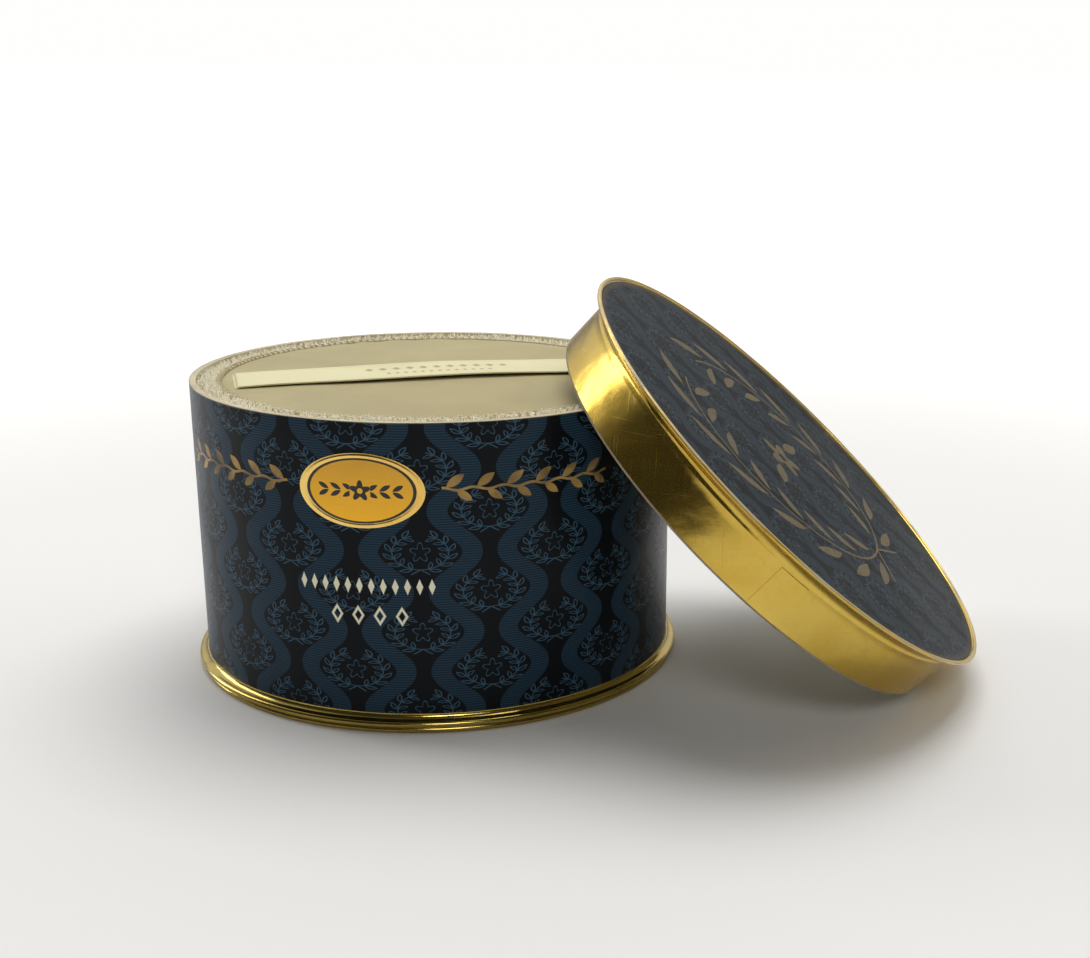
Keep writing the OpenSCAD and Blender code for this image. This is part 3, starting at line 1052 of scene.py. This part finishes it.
# %% Tufts round the border
bare()
bpy.ops.mesh.primitive_cone_add(vertices=5, radius1=0.34 * mm, radius2=0.14 * mm, depth=2.6 * mm)
tuft = named("tuft")
bpy.ops.object.mode_set(mode="EDIT")
bpy.ops.mesh.select_all(action="SELECT")
bpy.ops.transform.translate(value=(0, 0, 0.95 * mm))
bpy.ops.object.mode_set(mode="OBJECT")
random.seed(4)
tuft_count = 7000
tufts = []
for count in range(tuft_count):
    turn = random.uniform(0, 2 * math.pi)
    along = random.uniform(-1.0, 4.4) if count % 2 else random.uniform(4.4, 13.0)
    if along > 4.4:
        radius, height, tip = puff_high.x, pile_top - round_r + (4.4 - along) * mm, 1.0
    elif along < 0:
        radius, height, tip = inner + along * 0.55 * mm, pile_top, 0.0
    else:
        tip = min(along / 3, 1.35)
        radius = inner + round_r * math.sin(tip)
        height = pile_top - round_r + round_r * math.cos(tip)
    sway = Euler((random.gauss(0, 0.40), min(tip, 0.6) * 0.5 + random.gauss(0, 0.22), 0))
    stretch = random.uniform(0.55, 1.0) + 0.45 * min(tip, 1.0)
    tufts.append(placed_copy(
        tuft,
        Matrix.Rotation(turn, 4, "Z")
        @ Matrix.Translation((min(radius, puff_high.x - 0.4 * mm), 0, height - 0.5 * mm))
        @ sway.to_matrix().to_4x4()
        @ Matrix.Diagonal((1, 1, stretch, 1))
    ))
join_copies(tuft, tufts, pile)
furthest = puff_high.x + 0.3 * mm
for vertex in pile.data.vertices:
    reach = math.hypot(vertex.co.x, vertex.co.y)
    if reach > furthest:
        vertex.co.x *= furthest / reach
        vertex.co.y *= furthest / reach
    vertex.co.z = max(vertex.co.z, puff_low.z + 0.03 * mm)
smooth(pile, 60)
settle(pile, "puff", "pile", pile_wool, "puff_pile")

# %% [markdown]
# ## Cotton face
# The cloth is cut round, turned in and sewn down, so it puckers a little at the edge and is nearly
# flat in the middle. The disc is turned from its rim to its centre. Then a formula lowers and
# waves the outer rings.

# %% Cotton face
face_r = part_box("puff_binding")[1].x - 0.7 * mm
ring_count = 27
rings = [face_r * math.sqrt(1 - i / ring_count) for i in range(ring_count)]
section = [(face_r, pile_top - 0.3 * mm)]
section += [(radius, face_high - 0.02 * mm) for radius in rings[1:]]
section += [(3 * mm, face_high), (0.6 * mm, face_high)]
face = lathe("puff_cotton_face", section, 288, fill_end=True)
flat_r = 36 * mm
for vertex in face.data.vertices:
    radius = math.hypot(vertex.co.x, vertex.co.y)
    turn = math.atan2(vertex.co.y, vertex.co.x)
    near_edge = max(0.0, (radius - flat_r) / (face_r - flat_r))
    pucker = math.sin(38 * turn + 2.2 * math.sin(5 * turn)) * (0.5 + 0.5 * math.sin(3 * turn + 1))
    wide = field.noise(vertex.co / (14 * mm)) * 0.16
    crown = 0.30 * (1 - (radius / face_r) ** 2)
    vertex.co.z += (crown + wide * (1 - near_edge) + 0.12 * pucker * near_edge ** 2) * mm
harden(face, "SOLIDIFY", thickness=0.3 * mm, offset=-1)
smooth(face, 60)
settle(face, "puff", "woven_cotton", cotton, "puff_face")

# %% [markdown]
# ## Overlocked seam
# The edge of the cloth is bound by thread that loops over it, close together. That is a cord with
# small slanted loops round it. One loop is modelled as a thin torus and copied round the edge.

# %% Overlock stitches
bare()
seam_low, seam_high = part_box("puff_binding")
seam_r = seam_high.x - 0.6 * mm
seam_z = (seam_low.z + seam_high.z) / 2
bpy.ops.mesh.primitive_torus_add(
    major_segments=240, minor_segments=8, major_radius=seam_r, minor_radius=0.42 * mm,
    location=(0, 0, seam_z - 0.1 * mm),
)
seam = named("overlocked_seam")
place_in_mesh(seam)
bare()
bpy.ops.mesh.primitive_torus_add(
    major_segments=12, minor_segments=5, major_radius=0.52 * mm, minor_radius=0.15 * mm,
    rotation=(math.pi / 2, 0, 0),
)
loop = named("loop")
place_in_mesh(loop)
loop_count = 170
loops = []
for count in range(loop_count):
    turn = 2 * math.pi * (count + random.uniform(-0.12, 0.12)) / loop_count
    loops.append(placed_copy(
        loop,
        Matrix.Rotation(turn, 4, "Z")
        @ Matrix.Translation((seam_r, 0, seam_z - 0.05 * mm))
        @ Euler((0, 0, 0.5 + random.gauss(0, 0.08))).to_matrix().to_4x4()
        @ Matrix.Diagonal((random.uniform(1.1, 1.5), 1, 1, 1))
    ))
join_copies(loop, loops, seam)
smooth(seam, 70)
settle(seam, "puff", "thread", thread, "puff_binding")

# %% [markdown]
# ## Ribbon handle
# A cream satin ribbon crosses the puff for two fingers, with enough slack to lift off the cloth in
# the middle. A flat grid is shaped by one formula: the slack along it, a slight cup across it, and
# ends that turn under where they are tacked down. A tack is a short thread whose two ends dip into
# the cloth.

# %% Ribbon
bare()
ribbon_half = 46.1 * mm
ribbon_wide = 16.5 * mm
ribbon_z = face_high
bpy.ops.mesh.primitive_grid_add(x_subdivisions=96, y_subdivisions=16, size=2)
ribbon = named("satin_ribbon_handle")
ribbon.scale = (ribbon_half, ribbon_wide / 2, 1)
place_in_mesh(ribbon)
for vertex in ribbon.data.vertices:
    along = vertex.co.x / ribbon_half
    beside = vertex.co.y / (ribbon_wide / 2)
    slack = 0.7 * (1 - along ** 2)
    wave = 0.14 * math.sin(5.2 * along + 1.0 + 0.6 * beside) * (1 - along ** 4)
    cup = 0.14 * beside ** 2 * (1 - along ** 2)
    edge_cord = 0.07 if abs(beside) > 0.93 else 0.0
    turned_end = -0.45 * max(0.0, (abs(along) - 0.975) / 0.025) ** 2
    vertex.co.z = ribbon_z + (0.32 + slack + wave + cup + edge_cord + turned_end) * mm
    vertex.co.y *= 1 + 0.006 * math.sin(9 * along)
harden(ribbon, "SOLIDIFY", thickness=0.3 * mm, offset=0)
ribbon.data.transform(Matrix.Rotation(ribbon_turn, 4, "Z"))
smooth(ribbon, 60)
settle(ribbon, "puff", "satin", satin, "puff_ribbon")

# %% Tacks at the ribbon's ends
bare()
bpy.ops.mesh.primitive_uv_sphere_add(segments=8, ring_count=6, radius=1)
tack = named("tack")
tack.scale = (0.34 * mm, 1.0 * mm, 0.3 * mm)
place_in_mesh(tack)
bpy.ops.object.mode_set(mode="EDIT")
bpy.ops.mesh.select_mode(type="VERT")
bpy.ops.mesh.select_all(action="DESELECT")
bpy.ops.object.mode_set(mode="OBJECT")
for vertex in tack.data.vertices:
    vertex.select = abs(vertex.co.y) > 0.6 * mm
bpy.ops.object.mode_set(mode="EDIT")
bpy.ops.transform.translate(value=(0, 0, -0.22 * mm))
bpy.ops.transform.resize(value=(0.8, 1, 0.8))
bpy.ops.object.mode_set(mode="OBJECT")
tacks_across = 6
tacks = []
for end in (-1, 1):
    for count in range(tacks_across):
        beside = (count - (tacks_across - 1) / 2) * ribbon_wide / tacks_across
        tacks.append(placed_copy(
            tack,
            Matrix.Rotation(ribbon_turn, 4, "Z")
            @ Matrix.Translation((end * (ribbon_half - 0.6 * mm), beside, ribbon_z + 0.35 * mm))
            @ Matrix.Rotation(random.gauss(0, 0.2), 4, "Z")
        ))
join_copies(tack, tacks, tacks[0])
tacks = named("ribbon_tacks")
place_in_mesh(tacks)
smooth(tacks, 60)
settle(tacks, "puff", "thread", thread, "ribbon_stitches")

# %% [markdown]
# ## Powder
# The powder under the puff lies in soft mounds where the puff has dabbed it. Only its top needs
# shape, so the top rings are raised and lowered by smooth noise and the sides stay in the sleeve.

# %% Powder
bed_r = powder_high.x - 0.1 * mm
top = powder_high.z - 1.4 * mm
section = [(bed_r, powder_low.z + 0.05 * mm), (bed_r, top)]
ring_count = 22
section += [(bed_r * math.sqrt(1 - i / ring_count), top) for i in range(1, ring_count)]
section += [(3 * mm, top), (0.8 * mm, top)]
powder = lathe("talcum_bed", section, 144, fill_end=True)
closed(powder)
for vertex in powder.data.vertices:
    if vertex.co.z > top - 1 * mm:
        mound = field.noise(vertex.co / (17 * mm)) * 0.9 + field.noise(vertex.co / (5 * mm)) * 0.25
        vertex.co.z += mound * mm
smooth(powder, 60)
settle(powder, "drum", "powder", talc, "powder_fill")

# %% Finish
size = {"cad": [list(cad_low), list(cad_high)], "looks": [list(corner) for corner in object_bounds()]}
print(size)
